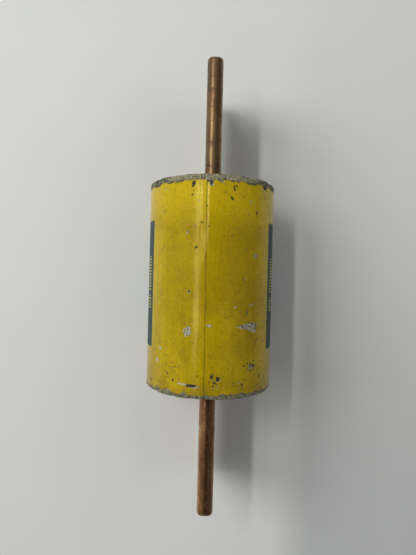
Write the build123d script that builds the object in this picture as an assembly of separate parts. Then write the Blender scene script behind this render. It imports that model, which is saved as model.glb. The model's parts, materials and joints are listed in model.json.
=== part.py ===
"""Blade-terminal cartridge fuse, dual-element time-delay type, lying on its side.

The tube's axis is X and the blades stand on edge in the XZ plane, with +Z up. The origin is the
centre of the fuse. All sizes are in millimetres.

From the outside in: a laminate tube wrapped in a printed label, a brass end plug pinned into
each end, and a copper blade brazed through each plug. Inside, a divider disc splits the tube.
To its right four perforated elements lie in quartz sand and break short circuits. To its left a
spring-loaded plunger is soldered into the bridge plate; when a long overload melts the solder,
the spring pulls the plunger out along -X and opens the circuit.
"""

from build123d import *

import os

# ---- driving dimensions ------------------------------------------------------------------------
TUBE_DIAMETER = 53.6
TUBE_LENGTH = 85.7
TUBE_WALL = 4.9
OVERALL_LENGTH = 181.0
BLADE_WIDTH = 41.3
BLADE_THICKNESS = 6.35
SLOT_CENTRES = 133.35
SLOT_WIDTH = 10.3
SLOT_LENGTH = 13.5

CUT_MARGIN = 1.0  # how far a cutting shape runs past the surface that it opens

# ---- tube and label ----------------------------------------------------------------------------
TUBE_RADIUS = TUBE_DIAMETER / 2
BORE_RADIUS = TUBE_RADIUS - TUBE_WALL
TUBE_END = TUBE_LENGTH / 2
TUBE_EDGE_RADIUS = 0.9
LABEL_SEAT_DEPTH = 0.25
LABEL_SEAT_RADIUS = TUBE_RADIUS - LABEL_SEAT_DEPTH
LABEL_THICKNESS = 0.12
LABEL_OVERLAP_DEGREES = 14.0
LABEL_SEAM_DEGREES = 84.0  # the outer layer's free edge, measured from +Y towards +Z
LEFT_BARE_RIM = 1.5
RIGHT_BARE_RIM = 2.3
LABEL_LEFT = -TUBE_END + LEFT_BARE_RIM
LABEL_RIGHT = TUBE_END - RIGHT_BARE_RIM

# ---- end plugs, pins and washers ----------------------------------------------------------------
PLUG_RECESS = 1.5
PLUG_THICKNESS = 8.0
PLUG_CHAMFER = 0.5
PLUG_OUTER = TUBE_END - PLUG_RECESS
PLUG_INNER = PLUG_OUTER - PLUG_THICKNESS
PIN_RADIUS = 1.6
PIN_SEAT_DEPTH = 9.0
PIN_ANGLES = (35, 145, 215, 325)
PIN_HOLE_GAP = 0.02
WASHER_THICKNESS = 1.5
WASHER_INNER = PLUG_INNER - WASHER_THICKNESS
FILL_HOLE_RADIUS = 3.0
FILL_HOLE_OFFSET = 12.6
FILL_PLUG_DOME = 0.6
FILL_PLUG_EDGE_RADIUS = 0.5

# ---- blades ------------------------------------------------------------------------------------
BLADE_END = OVERALL_LENGTH / 2
BLADE_EDGE_RADIUS = 2.8
BLADE_CORNER_RADIUS = 1.4
BLADE_TIP_RADIUS = 1.2
SLOT_CHAMFER = 0.4
TANG_WIDTH = 32.0
TANG_THICKNESS = 6.0
TANG_REACH = 6.5
TANG_INNER = WASHER_INNER - TANG_REACH
PRONG_GAP = 20.4
NECK_LENGTH = 1.15  # the foot of the blade, a little slimmer, which the braze wets
NECK_WIDTH = 40.6
NECK_EDGE_RADIUS = 2.6
BRAZE_LEG = 1.0
BRAZE_HEIGHT = 0.95
BRAZE_TAPER = 40

# ---- short-circuit section ---------------------------------------------------------------------
DIVIDER_THICKNESS = 3.0
DIVIDER_LEFT = -4.5
DIVIDER_RIGHT = DIVIDER_LEFT + DIVIDER_THICKNESS
PLATE_RADIUS = 18.0
BRIDGE_THICKNESS = 2.5
BRIDGE_RIGHT = DIVIDER_RIGHT + BRIDGE_THICKNESS
ELEMENT_THICKNESS = 0.4
ELEMENT_WIDTH = 13.0
ELEMENT_GAP = 1.0
ELEMENT_TAB = 5.5
WELD_END_GAP = 0.5  # from the end of an element or heater strip to the washer
ELEMENT_END = WASHER_INNER - WELD_END_GAP
HOLE_ROWS = 5
HOLE_ROW_PITCH = 4.2
FIRST_HOLE_ROW = BRIDGE_RIGHT + 3.8
HOLES_ACROSS = 5
HOLE_PITCH = ELEMENT_WIDTH / (HOLES_ACROSS - 1)
HOLE_RADIUS = 1.25
SCREW_CIRCLE_RADIUS = 14.5
SCREW_SHANK_RADIUS = 1.25
SCREW_DEPTH_IN_DIVIDER = 2.0
SCREW_HEAD_RADIUS = 2.2
SCREW_HEAD_HEIGHT = 1.2
SCREW_CUT_DEPTH = 0.5
SCREW_CUT_WIDTH = 0.6

# ---- overload section --------------------------------------------------------------------------
SLEEVE_WALL = 1.7
PLUNGER_RADIUS = 3.0
PLUNGER_TIP = BRIDGE_RIGHT + 0.6
PLUNGER_CHAMFER = 0.4
PLUNGER_HEAD_RADIUS = 9.0
PLUNGER_HEAD_THICKNESS = 2.0
PLUNGER_TRAVEL = 12.75
PLUNGER_STOP_GAP = 0.1  # left between its head and the left washer when it has sprung back
PLUNGER_HEAD_LEFT = -WASHER_INNER + PLUNGER_STOP_GAP + PLUNGER_TRAVEL
PLUNGER_HEAD_RIGHT = PLUNGER_HEAD_LEFT + PLUNGER_HEAD_THICKNESS
RUNNING_GAP = 0.05
DIVIDER_HOLE_RADIUS = 3.6
BARREL_FLANGE_THICKNESS = 2.0
BARREL_FLANGE_LEFT = DIVIDER_LEFT - BARREL_FLANGE_THICKNESS
BARREL_RADIUS = 6.5
BARREL_LENGTH = 9.0
BARREL_SPIGOT_RADIUS = 6.0
BARREL_SPIGOT_DEPTH = 1.5
ALLOY_RADIUS = 4.2
ALLOY_FILLET = 0.45
ALLOY_CLEARANCE = 0.8
HEATER_THICKNESS = 0.6
HEATER_WIDTH = 5.0
HEATER_TAB = 4.2
HEATER_EDGE_GAP = 0.4
HEATER_CENTRE_Z = (PRONG_GAP + HEATER_WIDTH) / 2 + HEATER_EDGE_GAP
HEATER_SLOT_LENGTH = 8.0
HEATER_SLOT_WIDTH = 2.0
HEATER_SLOT_CENTRE = -17.0
SPRING_WIRE_RADIUS = 0.6
SPRING_RADIUS = 8.0
SPRING_TURNS = 4.5
SPRING_END_GAP = 0.05


# ---- helpers -----------------------------------------------------------------------------------
def rod_x(radius, x_from, x_to):
    """Solid round bar along X."""
    middle = Pos((x_from + x_to) / 2, 0, 0)
    return middle * Rot(0, 90, 0) * Cylinder(radius, abs(x_to - x_from))


def ring_x(outer, inner, x_from, x_to):
    """Tube along X."""
    return rod_x(outer, x_from, x_to) - rod_x(inner, x_from, x_to)


def block(x, y, z):
    """Box between (low, high) limits on each axis."""
    centre = Pos(sum(x) / 2, sum(y) / 2, sum(z) / 2)
    return centre * Box(x[1] - x[0], y[1] - y[0], z[1] - z[0])


def turned(*points):
    """Solid of revolution about X, from its (x, radius) outline."""
    outline = Polyline(*[(x, radius, 0) for x, radius in points], close=True)
    return revolve(make_face(outline), Axis.X)


def radial_pin(radius, inner, outer, x, angle):
    """Round pin square to the X axis, from one radius to another, at an angle from +Y to +Z."""
    pin = Pos(0, 0, (inner + outer) / 2) * Cylinder(radius, outer - inner)
    return Pos(x, 0, 0) * Rot(angle - 90, 0, 0) * pin


def at_end(side, shape):
    """A shape modelled at the right end, mirrored to the left one when side is -1."""
    return shape if side > 0 else mirror(shape, Plane.YZ)


def strip_limits(depth, width, centre_z):
    """Y and Z limits of a strip that lies on the tang's +Y face and is depth deep."""
    return (TANG_THICKNESS / 2, TANG_THICKNESS / 2 + depth), (centre_z - width / 2, centre_z + width / 2)


# ---- casing ------------------------------------------------------------------------------------
def casing_tube():
    tube = rod_x(TUBE_RADIUS, -TUBE_END, TUBE_END)
    tube = fillet(tube.edges().filter_by(GeomType.CIRCLE), TUBE_EDGE_RADIUS)
    tube -= rod_x(BORE_RADIUS, -TUBE_END, TUBE_END)
    tube -= ring_x(TUBE_RADIUS + CUT_MARGIN, LABEL_SEAT_RADIUS, LABEL_LEFT, LABEL_RIGHT)
    for side in (-1, 1):
        tube -= pin_group(side, PIN_HOLE_GAP)
    return tube


def label():
    """Sleeve with a second layer over the overlap, on the +Y side of the seam at its free edge."""
    first_layer = LABEL_SEAT_RADIUS + LABEL_THICKNESS
    second_layer = first_layer + LABEL_THICKNESS
    sleeve = ring_x(first_layer, LABEL_SEAT_RADIUS, LABEL_LEFT, LABEL_RIGHT)
    profile = Rectangle(LABEL_RIGHT - LABEL_LEFT, second_layer - LABEL_SEAT_RADIUS)
    centre = ((LABEL_LEFT + LABEL_RIGHT) / 2, (LABEL_SEAT_RADIUS + second_layer) / 2, 0)
    overlap = revolve(Pos(*centre) * profile, Axis.X, LABEL_OVERLAP_DEGREES)
    return sleeve + Rot(LABEL_SEAM_DEGREES - LABEL_OVERLAP_DEGREES, 0, 0) * overlap


# ---- terminals ---------------------------------------------------------------------------------
def flat_bar(x_from, x_to, width):
    """Square-edged bar as thick as a tang, along X."""
    return block((x_from, x_to), (-TANG_THICKNESS / 2, TANG_THICKNESS / 2), (-width / 2, width / 2))


def rounded_bar(x_from, x_to, thickness, width, radius):
    """Bar along X whose four long edges are rounded."""
    section = Plane.YZ.offset(x_from) * RectangleRounded(thickness, width, radius)
    return extrude(section, x_to - x_from)


def blade_neck(x_to):
    """The slimmer foot of a blade, from the plug's face outward."""
    return rounded_bar(PLUG_OUTER, x_to, TANG_THICKNESS, NECK_WIDTH, NECK_EDGE_RADIUS)


def tang_slot(x_from, x_to):
    """The way for a blade's tang through a plug or washer, and the tang itself."""
    return flat_bar(x_from, x_to, TANG_WIDTH)


def fill_hole():
    return Pos(0, FILL_HOLE_OFFSET, 0) * rod_x(FILL_HOLE_RADIUS, WASHER_INNER, PLUG_OUTER)


def pin_group(side, gap=0.0):
    """The pins that hold one end plug, ground flush; gap widens them into their holes."""
    outer = LABEL_SEAT_RADIUS
    inner = outer - PIN_SEAT_DEPTH
    x = side * (PLUG_OUTER + PLUG_INNER) / 2
    flush = rod_x(outer, x - 2 * PIN_RADIUS, x + 2 * PIN_RADIUS)
    pins = [radial_pin(PIN_RADIUS + gap, inner, outer, x, angle) & flush for angle in PIN_ANGLES]
    return Compound(children=pins)


def end_plug(side):
    plug = rod_x(BORE_RADIUS, PLUG_INNER, PLUG_OUTER)
    outer_edge = plug.edges().filter_by(GeomType.CIRCLE).sort_by(Axis.X)[-1]
    plug = chamfer(outer_edge, PLUG_CHAMFER)
    plug -= tang_slot(PLUG_INNER, PLUG_OUTER)
    if side > 0:
        plug -= fill_hole()
    return at_end(side, plug) - pin_group(side, PIN_HOLE_GAP)


def seal_washer(side):
    washer = rod_x(BORE_RADIUS, WASHER_INNER, PLUG_INNER) - tang_slot(WASHER_INNER, PLUG_INNER)
    if side > 0:
        washer -= fill_hole()
    return at_end(side, washer)


def fill_hole_plug():
    plug = Pos(0, FILL_HOLE_OFFSET, 0) * rod_x(FILL_HOLE_RADIUS, WASHER_INNER, PLUG_OUTER + FILL_PLUG_DOME)
    outer_edge = plug.edges().filter_by(GeomType.CIRCLE).sort_by(Axis.X)[-1]
    return fillet(outer_edge, FILL_PLUG_EDGE_RADIUS)


def blade(side):
    """Exposed blade with rounded edges and a mounting slot, on a thinner tang through the plug."""
    half_width = BLADE_WIDTH / 2
    half_thick = BLADE_THICKNESS / 2
    foot = PLUG_OUTER + NECK_LENGTH
    plan = block((foot, BLADE_END), (-half_thick, half_thick), (-half_width, half_width))
    tip_corners = plan.edges().filter_by(Axis.Y).sort_by(Axis.X)[-2:]
    plan = fillet(tip_corners, BLADE_CORNER_RADIUS)
    bar = rounded_bar(foot, BLADE_END, BLADE_THICKNESS, BLADE_WIDTH, BLADE_EDGE_RADIUS) & plan
    tip_edges = bar.faces().sort_by(Axis.X)[-1].edges()
    bar = fillet(tip_edges, BLADE_TIP_RADIUS)
    slot = extrude(SlotOverall(SLOT_LENGTH, SLOT_WIDTH), BLADE_THICKNESS, both=True)
    bar -= Pos(SLOT_CENTRES / 2, 0, 0) * Rot(90, 0, 0) * slot
    bar = chamfer(slot_mouths(bar), SLOT_CHAMFER)
    bar += blade_neck(foot)
    bar += tang_slot(TANG_INNER, PLUG_OUTER)
    if side < 0:
        # the left blade is the mirror of a notched right one
        bar -= prong_gap()
    return at_end(side, bar)


def slot_mouths(bar):
    """The edges round both mouths of a blade's mounting slot."""
    reach = SLOT_LENGTH / 2 + SLOT_CHAMFER
    flat = [e for e in bar.edges() if abs(abs(e.center().Y) - BLADE_THICKNESS / 2) < SLOT_CHAMFER]
    return [e for e in flat if abs(e.center().X - SLOT_CENTRES / 2) < reach and abs(e.center().Z) < reach]


def prong_gap():
    """Notch in a tang that leaves room for the plunger's head between two prongs."""
    return flat_bar(TANG_INNER - CUT_MARGIN, WASHER_INNER, PRONG_GAP)


def braze_fillet(side):
    """Bead of braze round the foot of a blade, sloping from the plug's face to the neck."""
    outline = (TANG_THICKNESS + 2 * BRAZE_LEG, NECK_WIDTH + 2 * BRAZE_LEG)
    bead = extrude(RectangleRounded(*outline, NECK_EDGE_RADIUS + BRAZE_LEG), BRAZE_HEIGHT, taper=BRAZE_TAPER)
    placed = Pos(PLUG_OUTER, 0, 0) * Rot(0, 90, 0) * Rot(0, 0, 90) * bead
    return at_end(side, placed - blade_neck(PLUG_OUTER + BRAZE_LEG))


# ---- short-circuit section ---------------------------------------------------------------------
def divider_disc():
    disc = rod_x(BORE_RADIUS, DIVIDER_LEFT, DIVIDER_RIGHT)
    disc -= rod_x(DIVIDER_HOLE_RADIUS, DIVIDER_LEFT, DIVIDER_RIGHT)
    disc -= rod_x(BARREL_SPIGOT_RADIUS, DIVIDER_LEFT, DIVIDER_LEFT + BARREL_SPIGOT_DEPTH)
    return disc - screw_shanks()


def bridge_plate():
    plate = rod_x(PLATE_RADIUS, DIVIDER_RIGHT, BRIDGE_RIGHT)
    return plate - rod_x(ALLOY_RADIUS, DIVIDER_RIGHT, BRIDGE_RIGHT) - screw_shanks()


def four_round_the_axis(fastener):
    """Four copies of a fastener modelled on the X axis, moved out to the screw circle."""
    outward = Pos(0, SCREW_CIRCLE_RADIUS, 0) * fastener
    return Compound(children=[Rot(quarter * 90, 0, 0) * outward for quarter in range(4)])


def screw_shanks():
    shank = rod_x(SCREW_SHANK_RADIUS, DIVIDER_RIGHT - SCREW_DEPTH_IN_DIVIDER, BRIDGE_RIGHT)
    return four_round_the_axis(shank)


def bridge_screws():
    """Four pan-head screws from the sand side, blind in the divider."""
    head_top = BRIDGE_RIGHT + SCREW_HEAD_HEIGHT
    screw = rod_x(SCREW_SHANK_RADIUS, DIVIDER_RIGHT - SCREW_DEPTH_IN_DIVIDER, BRIDGE_RIGHT)
    head = rod_x(SCREW_HEAD_RADIUS, BRIDGE_RIGHT, head_top)
    head = fillet(head.edges().filter_by(GeomType.CIRCLE).sort_by(Axis.X)[-1], SCREW_HEAD_HEIGHT / 2)
    cut = block(
        (head_top - SCREW_CUT_DEPTH, head_top),
        (-SCREW_CUT_WIDTH / 2, SCREW_CUT_WIDTH / 2),
        (-SCREW_HEAD_RADIUS, SCREW_HEAD_RADIUS),
    )
    screw = screw + head - cut
    return four_round_the_axis(screw)


def short_circuit_element(y_side, z_side):
    """Perforated ribbon from the bridge plate to the right tang, notched round the solder joint."""
    centre_z = z_side * (ELEMENT_WIDTH + ELEMENT_GAP) / 2
    ribbon = block((BRIDGE_RIGHT, ELEMENT_END), *strip_limits(ELEMENT_THICKNESS, ELEMENT_WIDTH, centre_z))
    ribbon += block(
        (BRIDGE_RIGHT, BRIDGE_RIGHT + ELEMENT_THICKNESS), *strip_limits(ELEMENT_TAB, ELEMENT_WIDTH, centre_z)
    )
    punch = Pos(0, TANG_THICKNESS / 2, 0) * Rot(90, 0, 0) * Cylinder(HOLE_RADIUS, 4 * ELEMENT_THICKNESS)
    first_z = centre_z - ELEMENT_WIDTH / 2
    for row in range(HOLE_ROWS):
        for hole in range(HOLES_ACROSS):
            x = FIRST_HOLE_ROW + row * HOLE_ROW_PITCH
            ribbon -= Pos(x, 0, first_z + hole * HOLE_PITCH) * punch
    ribbon -= rod_x(ALLOY_RADIUS + ALLOY_CLEARANCE, BRIDGE_RIGHT, PLUNGER_TIP + ALLOY_CLEARANCE)
    return ribbon if y_side > 0 else mirror(ribbon, Plane.XZ)


def quartz_sand():
    """Sand packed round the elements, from the divider to the right washer."""
    sand = rod_x(BORE_RADIUS, DIVIDER_RIGHT, WASHER_INNER)
    sand -= rod_x(PLATE_RADIUS, DIVIDER_RIGHT, BRIDGE_RIGHT)
    sand -= tang_slot(TANG_INNER, WASHER_INNER)
    sand -= rod_x(PLUNGER_RADIUS + RUNNING_GAP, BRIDGE_RIGHT, PLUNGER_TIP + RUNNING_GAP)
    sand -= fusing_alloy()
    sand -= bridge_screws()
    for y_side in (-1, 1):
        for z_side in (-1, 1):
            sand -= short_circuit_element(y_side, z_side)
    return max(sand.solids(), key=lambda solid: solid.volume)


# ---- overload section --------------------------------------------------------------------------
def compartment_sleeve():
    return ring_x(BORE_RADIUS, BORE_RADIUS - SLEEVE_WALL, -WASHER_INNER, DIVIDER_LEFT)


def overload_barrel():
    """Flanged brass barrel that heats up with the strips and guides the plunger."""
    spigot_end = DIVIDER_LEFT + BARREL_SPIGOT_DEPTH
    body_left = BARREL_FLANGE_LEFT - BARREL_LENGTH
    bore = PLUNGER_RADIUS + RUNNING_GAP
    return turned(
        (body_left, bore),
        (body_left, BARREL_RADIUS),
        (BARREL_FLANGE_LEFT, BARREL_RADIUS),
        (BARREL_FLANGE_LEFT, PLATE_RADIUS),
        (DIVIDER_LEFT, PLATE_RADIUS),
        (DIVIDER_LEFT, BARREL_SPIGOT_RADIUS),
        (spigot_end, BARREL_SPIGOT_RADIUS),
        (spigot_end, bore),
    )


def heater_strip(y_side, z_side):
    """Resistive strip from a prong of the left tang to the barrel's flange."""
    strip = block(
        (-ELEMENT_END, BARREL_FLANGE_LEFT), *strip_limits(HEATER_THICKNESS, HEATER_WIDTH, HEATER_CENTRE_Z)
    )
    strip += block(
        (BARREL_FLANGE_LEFT - HEATER_THICKNESS, BARREL_FLANGE_LEFT),
        *strip_limits(HEATER_TAB, HEATER_WIDTH, HEATER_CENTRE_Z),
    )
    slot = extrude(SlotOverall(HEATER_SLOT_LENGTH, HEATER_SLOT_WIDTH), 4 * HEATER_THICKNESS, both=True)
    strip -= Pos(HEATER_SLOT_CENTRE, TANG_THICKNESS / 2, HEATER_CENTRE_Z) * Rot(90, 0, 0) * slot
    strip = strip if z_side > 0 else mirror(strip, Plane.XY)
    return strip if y_side > 0 else mirror(strip, Plane.XZ)


def fusing_alloy():
    """Ring of low-melting solder between the plunger and the bridge plate, with a meniscus."""
    inner = PLUNGER_RADIUS + RUNNING_GAP
    return turned(
        (DIVIDER_RIGHT, inner),
        (DIVIDER_RIGHT, ALLOY_RADIUS),
        (BRIDGE_RIGHT, ALLOY_RADIUS),
        (BRIDGE_RIGHT + ALLOY_FILLET, inner + ALLOY_FILLET),
        (BRIDGE_RIGHT + ALLOY_FILLET, inner),
    )


def trigger_plunger():
    """Rod with a spring head; it slides left when the solder lets go."""
    return turned(
        (PLUNGER_HEAD_LEFT, 0),
        (PLUNGER_HEAD_LEFT, PLUNGER_HEAD_RADIUS - PLUNGER_CHAMFER),
        (PLUNGER_HEAD_LEFT + PLUNGER_CHAMFER, PLUNGER_HEAD_RADIUS),
        (PLUNGER_HEAD_RIGHT, PLUNGER_HEAD_RADIUS),
        (PLUNGER_HEAD_RIGHT, PLUNGER_RADIUS),
        (PLUNGER_TIP - PLUNGER_CHAMFER, PLUNGER_RADIUS),
        (PLUNGER_TIP, PLUNGER_RADIUS - PLUNGER_CHAMFER),
        (PLUNGER_TIP, 0),
    )


def trigger_spring():
    """Compression spring between the plunger's head and the barrel's flange."""
    end_clearance = SPRING_WIRE_RADIUS + SPRING_END_GAP
    start = PLUNGER_HEAD_RIGHT + end_clearance
    length = BARREL_FLANGE_LEFT - end_clearance - start
    coil = Helix(length / SPRING_TURNS, length, SPRING_RADIUS, center=(start, 0, 0), direction=(1, 0, 0))
    section = Plane(origin=coil @ 0, z_dir=coil % 0) * Circle(SPRING_WIRE_RADIUS)
    return sweep(section, path=coil, is_frenet=True)


# ---- the fuse ----------------------------------------------------------------------------------
def all_nodes():
    nodes = {
        "casing_tube": casing_tube(),
        "label": label(),
        "fill_hole_plug": fill_hole_plug(),
        "divider_disc": divider_disc(),
        "bridge_plate": bridge_plate(),
        "bridge_screws": bridge_screws(),
        "quartz_sand": quartz_sand(),
        "compartment_sleeve": compartment_sleeve(),
        "overload_barrel": overload_barrel(),
        "fusing_alloy": fusing_alloy(),
        "trigger_plunger": trigger_plunger(),
        "trigger_spring": trigger_spring(),
    }
    for name, side in (("left", -1), ("right", 1)):
        nodes[name + "_end_plug"] = end_plug(side)
        nodes[name + "_seal_washer"] = seal_washer(side)
        nodes[name + "_retaining_pins"] = pin_group(side)
        nodes[name + "_blade"] = blade(side)
        nodes[name + "_braze_fillet"] = braze_fillet(side)
    corners = [(y_side, z_side) for y_side in (-1, 1) for z_side in (-1, 1)]
    for number, (y_side, z_side) in enumerate(corners, start=1):
        nodes[f"short_circuit_element_{number}"] = short_circuit_element(y_side, z_side)
        nodes[f"heater_strip_{number}"] = heater_strip(y_side, z_side)
    return nodes


os.makedirs("parts", exist_ok=True)
for node_name, shape in all_nodes().items():
    export_step(shape, f"parts/{node_name}.step")
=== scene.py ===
"""Looks of the blade-terminal cartridge fuse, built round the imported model.

The tube lies along X with its blades on edge, as in the frame. Shapes are worked out in
millimetres and stored in metres. Angles round the tube are in degrees from the top line (+Z)
towards +Y.
"""

import json
import math
import random

import bmesh
import bpy
from mathutils import Matrix, Vector, noise
from mathutils.geometry import delaunay_2d_cdt


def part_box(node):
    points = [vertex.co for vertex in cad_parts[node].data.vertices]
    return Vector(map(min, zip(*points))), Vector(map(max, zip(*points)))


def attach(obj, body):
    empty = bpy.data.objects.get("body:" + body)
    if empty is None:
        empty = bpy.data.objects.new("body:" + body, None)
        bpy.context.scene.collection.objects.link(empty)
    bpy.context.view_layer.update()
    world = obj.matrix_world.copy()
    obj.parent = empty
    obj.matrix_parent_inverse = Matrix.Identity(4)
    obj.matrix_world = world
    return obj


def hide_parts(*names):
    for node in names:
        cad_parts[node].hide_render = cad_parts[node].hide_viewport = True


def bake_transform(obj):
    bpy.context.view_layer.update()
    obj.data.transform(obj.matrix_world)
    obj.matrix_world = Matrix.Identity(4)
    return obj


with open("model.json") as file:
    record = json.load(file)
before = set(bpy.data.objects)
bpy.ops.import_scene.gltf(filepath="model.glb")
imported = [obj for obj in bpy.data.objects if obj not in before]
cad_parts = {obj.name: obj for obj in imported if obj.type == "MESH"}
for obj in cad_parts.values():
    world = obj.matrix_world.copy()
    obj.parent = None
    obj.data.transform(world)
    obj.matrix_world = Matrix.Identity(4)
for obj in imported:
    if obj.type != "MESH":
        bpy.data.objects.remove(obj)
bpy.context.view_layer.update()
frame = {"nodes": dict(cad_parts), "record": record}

MM = 0.001

# ---- sizes read from the frame, in millimetres


def limits(node):
    """(lowest, highest) corner of a CAD node in millimetres."""
    low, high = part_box(node)
    return Vector(low) / MM, Vector(high) / MM


TUBE_END, TUBE_RADIUS = limits("casing_tube")[1][0:2]
LABEL_LEFT, LABEL_RIGHT = (corner[0] for corner in limits("label"))
PLUG_FACE, BORE_RADIUS = limits("right_end_plug")[1][0:2]
BLADE_TIP, BLADE_HALF_THICK, BLADE_HALF_WIDTH = limits("right_blade")[1]
TANG_END = limits("right_blade")[0][0]
WASHER_INNER = limits("right_seal_washer")[0][0]
SPRING_LOW, SPRING_HIGH = limits("trigger_spring")
SLOTS = next(m for m in frame["record"]["mounts"] if m["name"] == "blade_slots")["dims"]
SLOT_X = SLOTS["spacing_x_mm"] / 2
SLOT_HALF_WIDTH = SLOTS["hole_r_mm"]
SLOT_HALF_STRAIGHT = SLOTS["slot_length_mm"] / 2 - SLOT_HALF_WIDTH

# ---- sizes of the finer shapes
SEAT_DEPTH = 0.25
LABEL_SKIN = 0.12
SEAM_ANGLE = 4.1
SEAM_SKEW = 0.0175
OVERLAP_ANGLE = 14.0
OVERLAP_RAMP_ANGLE = 4.0
SHEET_RADIUS = TUBE_RADIUS - SEAT_DEPTH + LABEL_SKIN
SHEET_GRID = 1.1
FRAY_STEP = 0.28
RIM_RADIUS = 0.9
TANG_HALF_THICK = 3.0
TANG_HALF_WIDTH = 16.0
PRONG_INNER = 10.2
BLADE_EDGE = 2.8
BLADE_CORNER = 1.4
BLADE_TIP_EDGE = 1.3
SLOT_BEVEL = 0.4
BEAD_LEG = 1.0
WIRE_RADIUS = 0.6
SPRING_TURNS = 4.5
WELD_DISTANCE = 0.002

PANEL_ANGLE = 61.0
PANEL_ALONG = (-25.2, 26.3)
DASH_ANGLES = (67.0, 75.0)
DASH_ALONG = (-10.3, 11.8)
DASH_PITCH = 1.25
DASH_INKED = (0.30, 0.62)
DASH_GAP = (-4.4, -2.2)
GRAINS_PER_MM = 1.9


# ---- shader building
def put(tree, socket, value):
    """Links an output to a socket, or sets the socket to a plain value."""
    if isinstance(value, bpy.types.NodeSocket):
        tree.links.new(value, socket)
    elif socket.type == "RGBA" and len(value) == 3:
        socket.default_value = (*value, 1)
    else:
        socket.default_value = value


def add_node(tree, kind, inputs, result=0, **settings):
    """Adds a shader node with its settings and inputs, and returns one of its outputs."""
    node = tree.nodes.new("ShaderNode" + kind)
    for name, value in settings.items():
        setattr(node, name, value)
    for socket, value in inputs.items():
        put(tree, node.inputs[socket], value)
    return node.outputs[result]


class Shader:
    """A node material under construction. Its calls add nodes and return output sockets.

    Places are the object's own coordinates in millimetres, and color is the color so far.
    """

    def __init__(self, name, **constants):
        self.material = bpy.data.materials.new(name)
        self.material.use_nodes = True
        self.tree = self.material.node_tree
        self.tree.nodes.clear()
        self.surface = self.tree.nodes.new("ShaderNodeBsdfPrincipled")
        output = self.tree.nodes.new("ShaderNodeOutputMaterial")
        put(self.tree, output.inputs[0], self.surface.outputs[0])
        for socket, value in constants.items():
            self.surface.inputs[socket.replace("_", " ")].default_value = value
        self.place = self.scaled(self.add("TexCoord", {}, "Object"), (1 / MM,) * 3)
        self.x, self.y, self.z = (self.add("SeparateXYZ", {0: self.place}, axis) for axis in range(3))

    def add(self, kind, inputs, result=0, **settings):
        return add_node(self.tree, kind, inputs, result, **settings)

    def math(self, operation, *values, clamp=False):
        return self.add("Math", dict(enumerate(values)), operation=operation, use_clamp=clamp)

    def plus(self, a, b, clamp=False):
        return self.math("ADD", a, b, clamp=clamp)

    def minus(self, a, b):
        return self.math("SUBTRACT", a, b)

    def scaled(self, vector, factors):
        return self.add("VectorMath", {0: vector, 1: factors}, operation="MULTIPLY")

    def join(self, x, y, z=0.0):
        return self.add("CombineXYZ", {0: x, 1: y, 2: z})

    def noise(self, scale, detail=3.0, roughness=0.5, distortion=0.0, at=None):
        """Noise with so many cycles per millimetre, at the object's own place unless told otherwise."""
        inputs = {"Vector": self.place if at is None else at, "Scale": scale, "Detail": detail}
        return self.add("TexNoise", {**inputs, "Roughness": roughness, "Distortion": distortion})

    def streaks(self, vector, factors, detail, roughness=0.5):
        """Noise with so many cycles per millimetre along each axis."""
        return self.noise(1.0, detail, roughness, at=self.scaled(vector, factors))

    def rise(self, value, low, high):
        """0 below low, 1 above high and smooth between; low above high turns it round."""
        start, end = (1.0, 0.0) if low > high else (0.0, 1.0)
        inputs = {"Value": value, "From Min": min(low, high), "From Max": max(low, high)}
        inputs.update({"To Min": start, "To Max": end})
        return self.add("MapRange", inputs, "Result", interpolation_type="SMOOTHSTEP")

    def mix(self, factor, a, b, blend="MIX"):
        return self.add("Mix", {0: factor, 6: a, 7: b}, 2, data_type="RGBA", blend_type=blend)

    def patches(self, scale, low, high, *kind):
        """Soft-edged patches, where noise of a kind rises from low to high."""
        return self.rise(self.noise(scale, *kind), low, high)

    def coat(self, factor, tint):
        """Mixes a tint or a texture's color into the color so far."""
        self.color = self.mix(factor, self.color, tint)

    def mottle(self, texture, amount, dark, light=(1.15, 1.15, 1.15)):
        """Multiplies the color so far by a texture that runs from a dark tint to a light one."""
        self.color = self.mix(amount, self.color, self.mix(texture, dark, light), "MULTIPLY")

    def times(self, *values):
        product = values[0]
        for value in values[1:]:
            product = self.math("MULTIPLY", product, value)
        return product

    def between(self, value, low, high, soft):
        """1 from low to high, falling to 0 within soft outside them."""
        return self.times(self.rise(value, low - soft, low), self.rise(value, high + soft, high))

    def span(self, value, low, high):
        """A 0 to 1 value spread between two numbers."""
        return self.math("MULTIPLY_ADD", value, high - low, low)

    def bump(self, *layers):
        """Stacks (height, depth in mm) layers and wires them to the surface."""
        chain = {}
        for height, depth in layers:
            chain = {"Normal": self.add("Bump", {"Distance": depth * MM, "Height": height, **chain})}
        put(self.tree, self.surface.inputs["Normal"], chain["Normal"])

    def done(self, roughness):
        put(self.tree, self.surface.inputs["Base Color"], self.color)
        put(self.tree, self.surface.inputs["Roughness"], roughness)
        return self.material

    def around(self):
        """(along, round, out): the place unrolled round the tube's axis, in millimetres."""
        angle = self.math("ARCTAN2", self.y, self.z)
        self.angle = self.math("DEGREES", angle)
        self.radius = self.math("SQRT", self.plus(self.times(self.y, self.y), self.times(self.z, self.z)))
        return self.join(self.x, self.math("MULTIPLY", angle, SHEET_RADIUS), self.radius)


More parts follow.
